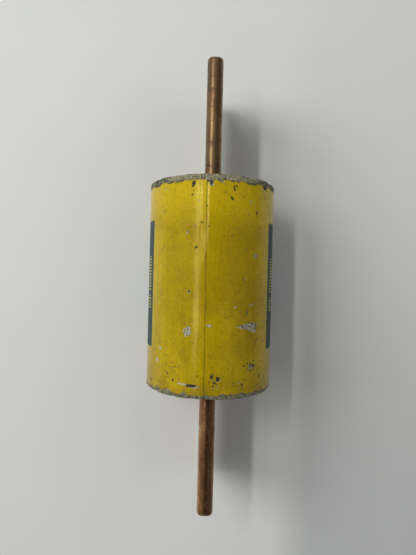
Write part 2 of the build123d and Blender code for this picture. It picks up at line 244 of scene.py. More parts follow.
# ---- materials
YELLOW = ((0.42, 0.288, 0.003), (0.52, 0.368, 0.004))
# Painted light: a lighter yellow laid over the label's right end.
YELLOW_PAINTED_LIGHT = (0.66, 0.475, 0.006)
YELLOW_RUBBED = (0.62, 0.50, 0.07)
# Grime on the label, also used for painted shade on its -Y side.
GRIME_AND_PAINTED_SHADE = (0.25, 0.175, 0.010)
SMUDGE = (0.20, 0.150, 0.012)
SPECK = (0.045, 0.04, 0.015)
BROWN_STROKE = (0.17, 0.095, 0.016)
# Dirt and painted shadow along the seam.
SEAM_DIRT_AND_SHADOW = (0.09, 0.075, 0.015)
PANEL_BLUE = (0.022, 0.050, 0.062)
PANEL_MOTTLE = ((0.020, 0.040, 0.048), (0.06, 0.10, 0.11))
DASH_YELLOW = (0.52, 0.46, 0.10)
PAPER = ((0.28, 0.27, 0.21), (0.56, 0.53, 0.41))
PAPER_DIRT = (0.13, 0.12, 0.085)
LAMINATE = ((0.15, 0.138, 0.08), (0.32, 0.295, 0.195))
LAMINATE_GRAIN = (0.49, 0.46, 0.33)
LAMINATE_PIT = (0.03, 0.028, 0.02)
LAMINATE_STAIN = (0.075, 0.070, 0.042)
# Darker patches on the right rim's sides.
DARK_RIM_SIDES = (0.035, 0.034, 0.022)
SEAT = ((0.030, 0.028, 0.018), (0.15, 0.145, 0.11))
GOLDEN_COPPER = ((0.35, 0.232, 0.115), (0.25, 0.150, 0.085))
ORANGE_COPPER = ((0.78, 0.400, 0.190), (0.40, 0.195, 0.098))
COPPER_STAIN = (0.11, 0.066, 0.045)
# Painted shade on the left blade's -Y side.
COPPER_PAINTED_SHADE = (0.13, 0.075, 0.045)
COPPER_SPECK = (0.06, 0.04, 0.03)
FLOOR_TONES = ((0.685, 0.700, 0.695), (0.730, 0.742, 0.735))

# Where the looks of the label, tube and blades change: along X or out from it in mm, or in degrees.
# Painted light on the label rises over this span along X.
PAINTED_LIGHT_ALONG = (18.0, 36.0)
SOILED_FROM = 24.0
RIGHT_EDGE_SOIL = (38.5, 41.5)
LEFT_EDGE_SOIL = (-33.0, -41.5)
RUB_ALONG = (-20.0, 0.0)
RUB_ANGLES = (-50.0, -14.0)
# Painted shade on the label's -Y side, fading out towards the right end.
SHADY_ANGLE = -50.0
SHADY_ALONG = (32.0, 8.0)
RIPPLE_ANGLES = (4.8, -3.6)
RIPPLE_ALONG = (4.0, 28.0)
UNDER_LABEL = (40.5, 40.0)
SEAT_RADII = (26.0, 26.3)
DARK_RIM_ANGLES = (46.0, 84.0)
DARK_RIM_ALONG = (40.0, 41.0)
STAIN_ALONG = (-40.4, -40.8)
BLADES_DIFFER = (-20.0, 20.0)


def yellow_paint(s, flat, blotch, fine):
    """Uneven yellow ink, mottled and finely streaked round the tube."""
    streak = s.streaks(flat, (0.035, 0.8, 0.0), 4.0, 0.6)
    s.color = s.mix(s.patches(0.055, 0.35, 0.65, 4.0), *YELLOW)
    s.coat(s.times(s.rise(blotch, 0.50, 0.70), 0.38), GRIME_AND_PAINTED_SHADE)
    s.mottle(streak, 0.5, (0.5, 0.5, 0.45), (1.25, 1.25, 1.25))
    s.mottle(fine, 0.55, (0.6, 0.6, 0.55), (1.25, 1.25, 1.25))


def label_dirt(s, flat, blotch):
    """Adds painted light towards the right end, smudges, specks, rubs and soiled edges, and returns where
    the specks are.
    """
    # Painted light: the yellow is lightened towards the right (+X) end.
    s.coat(s.rise(s.x, *PAINTED_LIGHT_ALONG), s.mix(0.5, s.color, YELLOW_PAINTED_LIGHT))
    ends = s.times(s.rise(s.x, SOILED_FROM, LABEL_RIGHT), 0.5)
    ends = s.plus(ends, s.rise(s.x, -SOILED_FROM, LABEL_LEFT))
    s.coat(s.times(s.patches(0.60, 0.56, 0.68, 3.0, 0.6), s.span(ends, 0.42, 0.65)), SMUDGE)
    dots = s.patches(1.35, 0.645, 0.71, 2.0, 0.4)
    tiny = s.patches(3.1, 0.68, 0.75, 1.0, 0.4)
    specks = s.plus(s.times(dots, s.span(ends, 0.5, 1.0)), s.times(tiny, 0.45), clamp=True)
    s.coat(specks, SPECK)
    rub_zone = s.times(s.between(s.x, *RUB_ALONG, 6.0), s.between(s.angle, *RUB_ANGLES, 9.0))
    strokes = s.rise(s.streaks(flat, (2.0, 0.22, 0.0), 3.0, 0.6), 0.53, 0.64)
    s.coat(s.times(rub_zone, strokes, 0.5), BROWN_STROKE)
    edges = s.times(s.rise(s.x, *RIGHT_EDGE_SOIL), 0.35)
    edges = s.plus(edges, s.times(s.rise(s.x, *LEFT_EDGE_SOIL), 0.6))
    s.coat(s.times(edges, s.rise(blotch, 0.36, 0.60)), GRIME_AND_PAINTED_SHADE)
    return specks


def side_panel(s, blotch, fine, rubbed):
    """(mask, ink) of the blue panel and the row of plain dashes near its edge."""
    wobble = s.times(s.minus(s.noise(0.8, 3.0), 0.5), 0.5)
    side = s.plus(s.math("ABSOLUTE", s.angle), wobble)
    length = s.plus(s.x, wobble)
    mask = s.rise(side, PANEL_ANGLE, PANEL_ANGLE + 0.4)
    mask = s.times(mask, s.between(length, *PANEL_ALONG, 0.15))
    ink = s.mix(s.rise(blotch, 0.35, 0.7), PANEL_BLUE, s.mix(fine, *PANEL_MOTTLE))
    ink = s.mix(s.times(rubbed, 0.6), ink, YELLOW_RUBBED)
    pitch = s.math("FRACT", s.math("DIVIDE", s.x, DASH_PITCH))
    dash = s.times(
        s.between(side, *DASH_ANGLES, 0.8),
        s.between(s.x, *DASH_ALONG, 0.05),
        s.between(pitch, *DASH_INKED, 0.06),
        s.minus(1.0, s.between(s.x, *DASH_GAP, 0.05)),
    )
    return mask, s.mix(dash, ink, DASH_YELLOW)


def label_material():
    """Printed yellow paper with blue side panels, rubbed and specked, with dirt and a painted shadow along
    its seam and painted shade on its -Y side towards the left end.
    """
    s = Shader("printed_label", Specular_IOR_Level=0.42, Specular_Tint=(1.0, 0.90, 0.34, 1.0))
    flat = s.around()
    blotch = s.noise(0.16, 5.0, 0.6)
    fine = s.noise(1.1, 3.0, 0.6)
    scuff = s.rise(s.streaks(flat, (1.9, 0.11, 0.0), 4.0, 0.65), 0.56, 0.72)
    rubbed = s.times(scuff, s.patches(0.07, 0.42, 0.62, 2.0), 0.5)
    yellow_paint(s, flat, blotch, fine)
    s.coat(rubbed, YELLOW_RUBBED)
    specks = label_dirt(s, flat, blotch)
    panel, ink = side_panel(s, blotch, fine, rubbed)
    s.coat(panel, ink)

    from_seam = s.minus(s.angle, s.math("MULTIPLY_ADD", s.x, SEAM_SKEW, SEAM_ANGLE - 0.3))
    # Painted shade: darker on the -Y side of the seam towards the left end.
    s.coat(s.times(s.between(from_seam, SHADY_ANGLE, 0.0, 0.5), s.rise(s.x, *SHADY_ALONG), 0.13), GRIME_AND_PAINTED_SHADE)
    # A dark line along the seam: dirt, and a painted shadow of the lapped edge.
    uneven = s.span(s.patches(0.35, 0.35, 0.65, 3.0), 0.35, 0.9)
    s.coat(s.times(s.rise(s.math("ABSOLUTE", from_seam), 0.5, 0.15), uneven), SEAM_DIRT_AND_SHADOW)

    ripple = s.times(s.rise(from_seam, *RIPPLE_ANGLES), s.rise(s.x, *RIPPLE_ALONG))
    wavy = s.streaks(flat, (0.10, 0.30, 0.0), 2.0)
    dimples = s.noise(0.8, 3.0, 0.6)
    s.bump((ripple, 0.52), (wavy, 0.10), (dimples, 0.05), (s.noise(5.0, 2.0), 0.006))
    rough = s.plus(s.span(s.noise(0.4, 4.0), 0.08, 0.27), s.times(specks, 0.3))
    rough = s.plus(rough, s.times(panel, 0.45))
    return s.done(s.plus(rough, s.times(rubbed, 0.3), clamp=True))


def paper_material():
    """The torn core of the label's paper: fibrous, matt and dirty in patches."""
    s = Shader("torn_paper", Specular_IOR_Level=0.3)
    fibres = s.noise(2.2, 4.0, 0.7)
    patch = s.noise(0.9, 4.0, 0.65, 0.6)
    s.color = s.mix(s.rise(fibres, 0.35, 0.65), *PAPER)
    s.coat(s.rise(patch, 0.47, 0.58), PAPER_DIRT)
    s.bump((fibres, 0.06), (patch, 0.05))
    return s.done(s.span(fibres, 0.75, 0.95))


def laminate_material():
    """Worn, pitted glass laminate: dark under the label, darker in patches on the right rim's sides and
    stained on the left.
    """
    s = Shader("glass_laminate", Specular_IOR_Level=0.4)
    fibre = s.streaks(s.around(), (2.8, 0.35, 2.8), 4.0, 0.7)
    lump = s.noise(0.75, 5.0, 0.7)
    grains = s.noise(1.7, 3.0, 0.7)
    pits = s.patches(1.5, 0.53, 0.62, 4.0, 0.65, 0.5)
    under_label = s.times(s.rise(s.math("ABSOLUTE", s.x), *UNDER_LABEL), s.rise(s.radius, *SEAT_RADII))
    # Darker patches on the right rim's sides, at the given angles.
    dark_rim = s.times(s.between(s.math("ABSOLUTE", s.angle), *DARK_RIM_ANGLES, 8.0), s.rise(s.x, *DARK_RIM_ALONG))
    dark_rim = s.times(dark_rim, s.rise(lump, 0.36, 0.52))
    s.color = s.mix(s.rise(fibre, 0.35, 0.65), *LAMINATE)
    s.coat(s.rise(grains, 0.48, 0.64), LAMINATE_GRAIN)
    s.coat(s.times(pits, 0.9), LAMINATE_PIT)
    s.coat(s.times(dark_rim, 0.75), DARK_RIM_SIDES)
    s.coat(s.times(s.rise(s.x, *STAIN_ALONG), s.rise(lump, 0.34, 0.58), 0.55), LAMINATE_STAIN)
    s.coat(under_label, s.mix(s.rise(lump, 0.52, 0.66), *SEAT))
    s.bump((lump, 0.16), (grains, 0.10), (pits, -0.14))
    return s.done(s.span(lump, 0.55, 0.85))


def blade_material():
    """Rolled copper browned by handling: golden on the right, orange on the left with painted shade on its
    -Y side.
    """
    s = Shader("patinated_copper", Metallic=1.0)
    grain = s.streaks(s.place, (0.05, 2.6, 2.6), 4.0, 0.7)
    cloud = s.rise(s.noise(0.16, 5.0, 0.6, at=s.scaled(s.place, (0.5, 1.0, 1.0))), 0.35, 0.68)
    stain = s.noise(0.42, 5.0, 0.65, 0.4)
    speck = s.patches(2.1, 0.64, 0.72, 2.0)
    is_right = s.rise(s.x, *BLADES_DIFFER)
    s.color = s.mix(is_right, s.mix(cloud, *ORANGE_COPPER), s.mix(cloud, *GOLDEN_COPPER))
    s.coat(s.times(s.rise(stain, 0.50, 0.70), 0.7), COPPER_STAIN)
    # Painted shade: the left blade is darker on its -Y side.
    painted_shade_side = s.times(s.rise(s.y, 0.6, -1.6), s.minus(1.0, is_right))
    s.coat(s.times(painted_shade_side, 0.62), COPPER_PAINTED_SHADE)
    s.mottle(grain, 0.4, (0.6, 0.58, 0.55))
    s.coat(s.times(speck, 0.7), COPPER_SPECK)
    s.bump((grain, 0.010), (stain, 0.02), (s.noise(0.35, 2.0), 0.06))
    rough = s.plus(s.span(grain, 0.20, 0.33), s.times(is_right, 0.11))
    return s.done(s.plus(rough, s.times(s.rise(stain, 0.45, 0.75), 0.22)))


def turned_metal(name, light, dark, spacing, rough):
    """Metal turned about the X axis, with fine tool rings and a dull cloudiness."""
    s = Shader(name, Metallic=1.0)
    s.around()
    rings = s.noise(1.0, 3.0, 0.7, at=s.join(s.times(s.radius, spacing), s.times(s.x, spacing)))
    cloud = s.noise(0.22, 5.0, 0.6)
    spots = s.patches(1.1, 0.60, 0.72, 3.0, 0.6)
    s.color = s.mix(s.rise(cloud, 0.35, 0.7), light, dark)
    s.coat(s.times(spots, 0.5), tuple(0.35 * c for c in dark))
    s.mottle(rings, 0.3, (0.7, 0.7, 0.7))
    s.bump((rings, 0.03), (cloud, 0.05))
    return s.done(s.plus(s.span(rings, rough - 0.08, rough + 0.08), s.times(spots, 0.2)))


def strip_metal(name, light, dark, rough):
    """Rolled strip with lengthwise grain and heat-tinted clouds."""
    s = Shader(name, Metallic=1.0)
    grain = s.streaks(s.place, (0.12, 3.5, 3.5), 4.0, 0.7)
    cloud = s.noise(0.3, 4.0, 0.6)
    s.color = s.mix(s.rise(cloud, 0.35, 0.7), light, dark)
    s.mottle(grain, 0.35, (0.7, 0.7, 0.7))
    s.bump((grain, 0.015), (cloud, 0.03))
    return s.done(s.span(grain, rough - 0.07, rough + 0.10))


def cast_metal(name, light, dark, scale, rough):
    """Metal that froze from the melt, lumpy and slightly dull."""
    s = Shader(name, Metallic=1.0)
    lump = s.noise(scale, 5.0, 0.6, 0.3)
    film = s.patches(scale * 0.6, 0.48, 0.66, 4.0)
    s.color = s.mix(s.rise(lump, 0.35, 0.65), dark, light)
    s.coat(s.times(film, 0.6), tuple(0.4 * c for c in dark))
    s.bump((lump, 0.10), (s.noise(scale * 5.0, 2.0), 0.01))
    return s.done(s.plus(s.span(lump, rough - 0.08, rough + 0.08), s.times(film, 0.25)))


def fibre_board(name, light, dark):
    """Pressed fibre or laminate board: short fibres, matt, with darker clouds."""
    s = Shader(name, Specular_IOR_Level=0.35)
    fibre = s.streaks(s.place, (2.4, 0.8, 2.4), 5.0, 0.75)
    cloud = s.noise(0.2, 4.0)
    s.color = s.mix(s.rise(fibre, 0.3, 0.7), dark, light)
    s.coat(s.times(s.rise(cloud, 0.45, 0.75), 0.5), dark)
    s.bump((fibre, 0.05), (cloud, 0.05))
    return s.done(s.span(fibre, 0.6, 0.85))


def sand_material():
    """Packed quartz: pale grains of differing tint with dark gaps between them."""
    s = Shader("quartz_grains", Specular_IOR_Level=0.5)
    cells = {"Vector": s.place, "Scale": GRAINS_PER_MM}
    grain = s.add("TexVoronoi", cells, "Distance")
    tint = s.add("SeparateXYZ", {0: s.add("TexVoronoi", cells, "Color")})
    s.color = s.mix(tint, (0.80, 0.76, 0.68), (0.52, 0.44, 0.33))
    s.coat(s.rise(grain, 0.35, 0.60), (0.30, 0.26, 0.20))
    s.bump((s.minus(1.0, grain), 0.35))
    return s.done(s.span(tint, 0.35, 0.8))


def floor_material():
    """The pale table under the fuse, a little uneven."""
    s = Shader("pale_table", Specular_IOR_Level=0.25)
    grain = s.noise(1.5, 3.0)
    s.color = s.mix(s.noise(0.02, 3.0), *FLOOR_TONES)
    s.bump((grain, 0.02))
    return s.done(s.span(grain, 0.55, 0.65))


TURNED = {
    "bridge_screws": ("zinc_steel", (0.66, 0.65, 0.60), (0.45, 0.44, 0.42), 2.6, 0.36),
    "trigger_plunger": ("plated_steel", (0.68, 0.67, 0.64), (0.50, 0.49, 0.46), 3.4, 0.24),
    "fill_hole_plug": ("pressed_brass", (0.70, 0.56, 0.30), (0.48, 0.36, 0.18), 3.2, 0.30),
    "overload_barrel": ("barrel_brass", (0.70, 0.53, 0.25), (0.50, 0.36, 0.17), 2.8, 0.28),
    "bridge_plate": ("bridge_copper", (0.70, 0.38, 0.24), (0.46, 0.23, 0.14), 1.6, 0.32),
}


def node_materials():
    """The material of each CAD node that is shown as it is."""
    materials = {node: turned_metal(*look) for node, look in TURNED.items()}
    brass = turned_metal("turned_brass", (0.56, 0.40, 0.17), (0.36, 0.25, 0.11), 2.2, 0.38)
    fibre = fibre_board("vulcanised_fibre", (0.40, 0.11, 0.07), (0.22, 0.055, 0.04))
    steel = turned_metal("ground_steel", (0.60, 0.59, 0.57), (0.40, 0.39, 0.37), 3.0, 0.30)
    for part, material in (("end_plug", brass), ("seal_washer", fibre), ("retaining_pins", steel)):
        materials["left_" + part] = materials["right_" + part] = material
    element = strip_metal("silvered_copper", (0.80, 0.66, 0.58), (0.62, 0.42, 0.32), 0.28)
    heater = strip_metal("heater_alloy", (0.62, 0.52, 0.42), (0.40, 0.30, 0.26), 0.34)
    for number in range(1, 5):
        materials[f"short_circuit_element_{number}"] = element
        materials[f"heater_strip_{number}"] = heater
    solder = cast_metal("grey_solder", (0.60, 0.60, 0.59), (0.38, 0.38, 0.38), 0.9, 0.38)
    liner = fibre_board("fibre_liner", (0.46, 0.37, 0.24), (0.30, 0.22, 0.13))
    divider = fibre_board("divider_laminate", (0.52, 0.46, 0.30), (0.36, 0.30, 0.18))
    materials.update(fusing_alloy=solder, compartment_sleeve=liner, divider_disc=divider)
    materials["quartz_sand"] = sand_material()
    return materials


# ---- mesh building
def smooth_noise(point, scale, octaves=1):
    """Perlin noise of a point in millimetres, about -1 to 1, with scale in cycles per millimetre."""
    total, weight = 0.0, 1.0
    for octave in range(octaves):
        total += weight * noise.noise(Vector(point) * scale * 2**octave)
        weight *= 0.5
    return total


def pitted(depth, point, scale, octaves=1):
    """A depth that wanders between 0 and about the given one."""
    return depth * abs(smooth_noise(point, scale, octaves))


def make_piece(name, points, faces, materials, node, body="fuse_body", face_materials=None, crease=40):
    """A mesh object from points in millimetres that stands for a CAD node and rides on a body."""
    mesh = bpy.data.meshes.new(name)
    mesh.from_pydata([Vector(p) * MM for p in points], [], faces)
    for material in materials:
        mesh.materials.append(material)
    if face_materials:
        mesh.polygons.foreach_set("material_index", face_materials)
    mesh.validate()
    mesh.shade_smooth()
    mesh.set_sharp_from_angle(angle=math.radians(crease))
    mesh.update()
    piece = bpy.data.objects.new(name, mesh)
    bpy.context.scene.collection.objects.link(piece)
    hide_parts(node)
    if body:
        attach(piece, body)
    return piece


def triangulate(points, loops):
    """Delaunay triangles of points inside closed loops, each with the set of loops that hold it."""
    corners = [Vector(p) for p in points]
    rings = []
    for loop in loops:
        rings.append(list(range(len(corners), len(corners) + len(loop))))
        corners += [Vector(p) for p in loop]
    made, _, faces, _, _, owners = delaunay_2d_cdt(corners, [], rings, 1, 1e-4, True)
    return made, [(tuple(face), set(owner)) for face, owner in zip(faces, owners)]


def strip_faces(rows, columns, closed_rows=False, closed_columns=False):
    """Quads of a grid of points stored row by row."""
    quads = []
    for row in range(rows if closed_rows else rows - 1):
        for column in range(columns if closed_columns else columns - 1):
            here, above = row * columns, (row + 1) % rows * columns
            after = (column + 1) % columns
            quads.append((here + column, here + after, above + after, above + column))
    return quads


def shifted(face, start):
    """A face whose corners are numbered from start."""
    return tuple(start + corner for corner in face)


def on_tube(along, angle, radius):
    """A point on a cylinder round the X axis; the angle is in degrees from +Z towards +Y."""
    turn = math.radians(angle)
    return Vector((along, radius * math.sin(turn), radius * math.cos(turn)))


def quarter_turns(steps):
    """Angles from 0 to a right angle, in so many steps."""
    return [math.pi / 2 * step / steps for step in range(steps + 1)]


# ---- label
# Wear on the label: along the tube, angle, size round the tube, size along it,
# tilt in degrees and kind. A "hole" shows the tube, a "core" shows torn paper, and "both" is
# torn paper round a hole.
MARKS = (
    (38.9, 15.5, 1.3, 2.7, 28, "hole"), (39.3, 1.0, 1.3, 2.0, -8, "both"),
    (39.6, -8.0, 1.6, 0.5, 0, "core"), (37.6, -18.5, 0.8, 2.6, -14, "hole"),
    (38.6, -20.0, 1.2, 0.6, 10, "hole"), (33.7, -16.5, 1.0, 1.9, -35, "hole"),
    (29.2, -41.5, 1.1, 1.2, 10, "hole"), (34.8, 16.5, 0.9, 0.8, 0, "hole"),
    (30.7, 4.0, 0.6, 0.6, 0, "hole"), (24.3, 7.5, 1.1, 0.5, 20, "hole"),
    (22.8, 2.5, 0.9, 0.5, -20, "hole"), (14.9, 12.0, 1.3, 0.8, -35, "hole"),
    (19.6, -17.0, 0.8, 0.7, 0, "hole"), (3.0, -28.5, 0.6, 0.7, 0, "hole"),
    (-2.0, 17.5, 0.9, 0.8, 0, "both"), (-9.7, -33.0, 0.7, 2.3, 8, "hole"),
    (33.3, -34.0, 1.1, 0.8, 0, "core"), (20.6, 20.0, 0.9, 1.6, 20, "core"),
    (12.4, -41.0, 3.0, 1.2, 0, "core"), (-6.6, -38.5, 3.4, 0.5, -16, "core"),
    (-7.6, -21.5, 1.4, 0.6, 0, "core"), (-14.8, 0.0, 2.1, 1.0, 0, "core"),
    (-24.8, 46.0, 1.6, 1.2, 0, "core"), (-29.9, 50.5, 2.0, 1.7, 0, "core"),
    (-17.2, 18.3, 2.9, 4.2, 20, "core"), (-15.2, -29.5, 7.0, 0.9, -3, "core"),
    (-15.0, -35.5, 8.4, 2.4, -2, "core"), (-15.5, -39.0, 5.2, 3.4, 0, "core"),
    (-15.0, -43.6, 0.5, 1.4, 20, "hole"), (-30.4, -40.5, 0.9, 1.3, -20, "hole"),
    (-31.2, -37.2, 1.6, 1.6, 30, "core"), (-37.4, 19.5, 6.0, 0.8, 3, "core"),
    (-38.1, 11.0, 3.6, 0.9, -4, "core"), (-37.7, 13.6, 4.2, 1.1, -2, "hole"),
    (-33.9, -3.0, 1.3, 1.5, 0, "hole"), (-34.8, -8.0, 1.7, 1.8, 30, "hole"),
    (-36.4, -5.2, 1.1, 1.0, 0, "hole"), (-36.5, 30.5, 1.2, 0.8, -20, "hole"),
    (-33.9, 36.5, 0.5, 1.8, -20, "hole"), (-37.4, -29.5, 1.2, 1.0, 0, "hole"),
    (-38.4, 61.0, 1.0, 1.9, 15, "hole"), (-31.4, 31.5, 5.2, 0.28, -8, "hole"),
    (-20.6, -45.0, 3.6, 0.35, -38, "hole"),
)
# Nicks in the label's ends (1 right, -1 left): angle, width and depth.
END_NICKS = {
    1: (
        (15.5, 1.6, 1.3), (3.5, 1.6, 0.9), (-17.0, 2.0, 0.6), (-38.0, 2.2, 0.7), (-52.0, 2.6, 1.4),
        (38.0, 4.0, 0.7), (55.0, 5.0, 0.9),
    ),
    -1: (
        (37.0, 4.5, 1.1), (47.0, 2.0, 0.8), (21.0, 2.4, 0.5), (4.0, 1.2, 0.9), (-12.0, 3.2, 0.8),
        (-19.0, 2.0, 0.7), (-31.0, 1.6, 0.8), (-45.0, 2.4, 0.6),
    ),
}
# Scuffed spots with many small chips: along, angle, reach in mm and count.
CLUSTERS = (
    (-30.8, -39.5, 1.2, 30), (-30.0, -36.0, 1.0, 10), (-35.0, -5.5, 1.3, 8), (-38.2, -5.0, 0.9, 9),
    (24.5, 9.0, 2.2, 9), (34.5, 6.0, 2.4, 6), (-38.0, -28.0, 1.4, 7), (-34.5, 34.0, 2.2, 7),
    (1.5, -30.0, 1.8, 7), (-38.5, 47.0, 1.8, 9), (38.0, -48.0, 1.6, 12), (38.3, 44.0, 1.8, 10),
    (39.0, 12.0, 1.6, 6), (-39.0, -45.0, 1.6, 9),
)
CORE_SINK = 0.05
WAVE_HEIGHT = 0.012
WAVE_SINK = 0.005
TORN_BAND = 1.45
RANDOM_CHIPS = 60
RANDOM_NICKS = 46
CHIP_KINDS = ("hole", "hole", "core")
END_GAP = 0.04
DEEPEST_FRAY = 1.5


def seam_angle(along):
    """Angle of the sheet's outer free edge, which runs slightly askew."""
    return SEAM_ANGLE + SEAM_SKEW * along


def sheet_run(angle, along):
    """Distance along the sheet from its outer free edge, for an angle round the tube."""
    return math.radians((angle - seam_angle(along)) % 360) * SHEET_RADIUS


def sheet_radius(angle_on):
    """Outer radius of the sheet that many degrees from its free edge, where it laps over itself."""
    drop = (angle_on - OVERLAP_ANGLE) / OVERLAP_RAMP_ANGLE
    drop = min(max(drop, 0.0), 1.0)
    lapped = 1 - drop * drop * (3 - 2 * drop)
    return SHEET_RADIUS + lapped * LABEL_SKIN


def blob(centre, across, along, tilt, rough, seed):
    """Ragged closed outline about an ellipse, in (run, along) millimetres."""
    count = max(9, int(9 * math.sqrt(across + along)))
    turn = math.radians(tilt)
    outline = []
    for step in range(count):
        angle = 2 * math.pi * step / count
        swell = 1 + rough * smooth_noise((2 * math.cos(angle), 2 * math.sin(angle), seed), 1.0, 2)
        u = across / 2 * swell * math.cos(angle)
        v = along / 2 * swell * math.sin(angle)
        outline.append((centre[0] + u * math.cos(turn) - v * math.sin(turn),
                        centre[1] + u * math.sin(turn) + v * math.cos(turn)))
    return outline


def frayed_end(side, nicks, length):
    """Points along one end of the sheet, from its free edge on, with frays and nicks."""
    limit = LABEL_RIGHT if side > 0 else -LABEL_LEFT
    points = []
    for step in range(int(length / FRAY_STEP) + 1):
        run = min(step * FRAY_STEP, length)
        fray = pitted(0.16, (run, 7.0 * side, 0), 0.30, 2) + pitted(0.10, (run, side, 3), 1.1)
        for where, width, depth in nicks:
            fray += depth * math.exp(-(((run - where) / width * 2) ** 4))
        points.append((run, side * (limit - END_GAP - min(fray, DEEPEST_FRAY))))
    return points


def end_nicks(side, picker, length):
    """(run, width, depth) of the nicks in one end: the placed ones, then random ones."""
    edge = side * LABEL_RIGHT
    nicks = [(sheet_run(angle, edge), width, depth) for angle, width, depth in END_NICKS[side]]
    for _ in range(RANDOM_NICKS):
        nicks.append((picker.uniform(1, length - 7), picker.uniform(0.5, 2.2), picker.uniform(0.15, 0.75)))
    return nicks


def label_wear(picker, length):
    """Closed outlines of what is torn off the sheet: (outline, kind)."""
    wear = []
    once_round = 2 * math.pi * SHEET_RADIUS
    for number, (along, angle, across, height, tilt, kind) in enumerate(MARKS):
        run = sheet_run(angle, along)
        if kind == "both":
            torn = blob((run, along), across * TORN_BAND, height * TORN_BAND, tilt, 0.5, number)
            wear.append((torn, "core"))
            kind = "hole"
        wear.append((blob((run, along), across, height, tilt, 0.55, number + 0.5), kind))
        if kind == "hole" and run - across / 2 < length - once_round:
            under = (run + once_round, along)
            wear.append((blob(under, across, height, tilt, 0.55, number + 0.5), kind))
    for along, angle, reach, count in CLUSTERS:
        for number in range(count):
            centre = (sheet_run(angle, along) + picker.gauss(0, reach), along + picker.gauss(0, reach))
            if abs(centre[1]) > LABEL_RIGHT - 0.6 or centre[0] < 0.5:
                continue
            size = picker.uniform(0.22, 0.6)
            across = size * picker.uniform(0.8, 1.6)
            chip = blob(centre, across, size, picker.uniform(-60, 60), 0.5, number)
            wear.append((chip, picker.choice(CHIP_KINDS)))
    for number in range(RANDOM_CHIPS):
        along = picker.choice((-1, 1)) * 40.5 * picker.random() ** 0.55
        centre = (picker.uniform(24, length - 18), along)
        size = picker.uniform(0.25, 0.8)
        kind = picker.choice(CHIP_KINDS)
        across = size * picker.uniform(0.7, 1.8)
        wear.append((blob(centre, across, size, picker.uniform(-60, 60), 0.5, 50 + number), kind))
    return wear


def wrapped(corner, inner, sunk):
    """Where a point of the flat sheet lies on the tube, on its inner or its slightly wavy outer face."""
    run, along = corner
    angle_on = math.degrees(run / SHEET_RADIUS)
    if inner:
        radius = sheet_radius(angle_on) - LABEL_SKIN
    else:
        wave = min(WAVE_HEIGHT * smooth_noise((run, along, 2), 0.12, 2), 0.8 * WAVE_SINK)
        radius = sheet_radius(angle_on) - WAVE_SINK + wave - (CORE_SINK if sunk else 0)
    return on_tube(along, seam_angle(along) + angle_on, radius)


def label_wrap():
    """The label as one sheet wrapped round the tube, lapped at the seam, frayed and chipped."""
    picker = random.Random(41)
    length = math.radians(360 + OVERLAP_ANGLE) * SHEET_RADIUS
    left = frayed_end(-1, end_nicks(-1, picker, length), length)
    right = frayed_end(1, end_nicks(1, picker, length), length)
    rows = int((LABEL_RIGHT - LABEL_LEFT) / SHEET_GRID)
    edge = [(LABEL_LEFT + (row + 0.5) * SHEET_GRID) for row in range(1, rows - 1)]
    outline = left + [(length, x) for x in edge] + right[::-1] + [(0.0, x) for x in reversed(edge)]
    wear = label_wear(picker, length)
    grid = []
    for column in range(1, int(length / SHEET_GRID)):
        for x in edge:
            run = column * SHEET_GRID + picker.uniform(-0.2, 0.2)
            grid.append((run, x + picker.uniform(-0.2, 0.2)))
    corners, triangles = triangulate(grid, [outline] + [shape for shape, _ in wear])
    holes = {1 + n for n, (_, kind) in enumerate(wear) if kind == "hole"}
    cores = {1 + n for n, (_, kind) in enumerate(wear) if kind == "core"}

    kept = [(face, bool(owner & cores)) for face, owner in triangles if 0 in owner and not owner & holes]
    torn, sound = set(), set()
    for face, is_core in kept:
        (torn if is_core else sound).update(face)
    sunk = torn - sound
    points = [wrapped(corner, False, number in sunk) for number, corner in enumerate(corners)]
    points += [wrapped(corner, True, False) for corner in corners]
    sheet_with_walls("label_wrap", points, len(corners), kept)


def sheet_with_walls(name, points, count, kept):
    """A solid sheet from its outer points, then as many inner points, and the outer triangles."""
    faces = [face for face, _ in kept]
    looks = [1 if is_core else 0 for _, is_core in kept]
    sides = dict.fromkeys(side for face in faces for side in zip(face, face[1:] + face[:1]))
    borders = [(a, b) for a, b in sides if (b, a) not in sides]
    faces += [shifted(face[::-1], count) for face in faces]
    faces += [(b, a, a + count, b + count) for a, b in borders]
    looks += [1] * (len(faces) - len(looks))
    materials = [label_material(), paper_material()]
    make_piece(name, points, faces, materials, "label", face_materials=looks)


# ---- casing
CASING_STEPS = 360
RIM_CHIPS = 46
CHIP_SPREAD = 0.9
BORE_CHAMFER = 0.35
RIM_STEPS = 7
SEAT_STEPS = 24
BORE_STEPS = 12


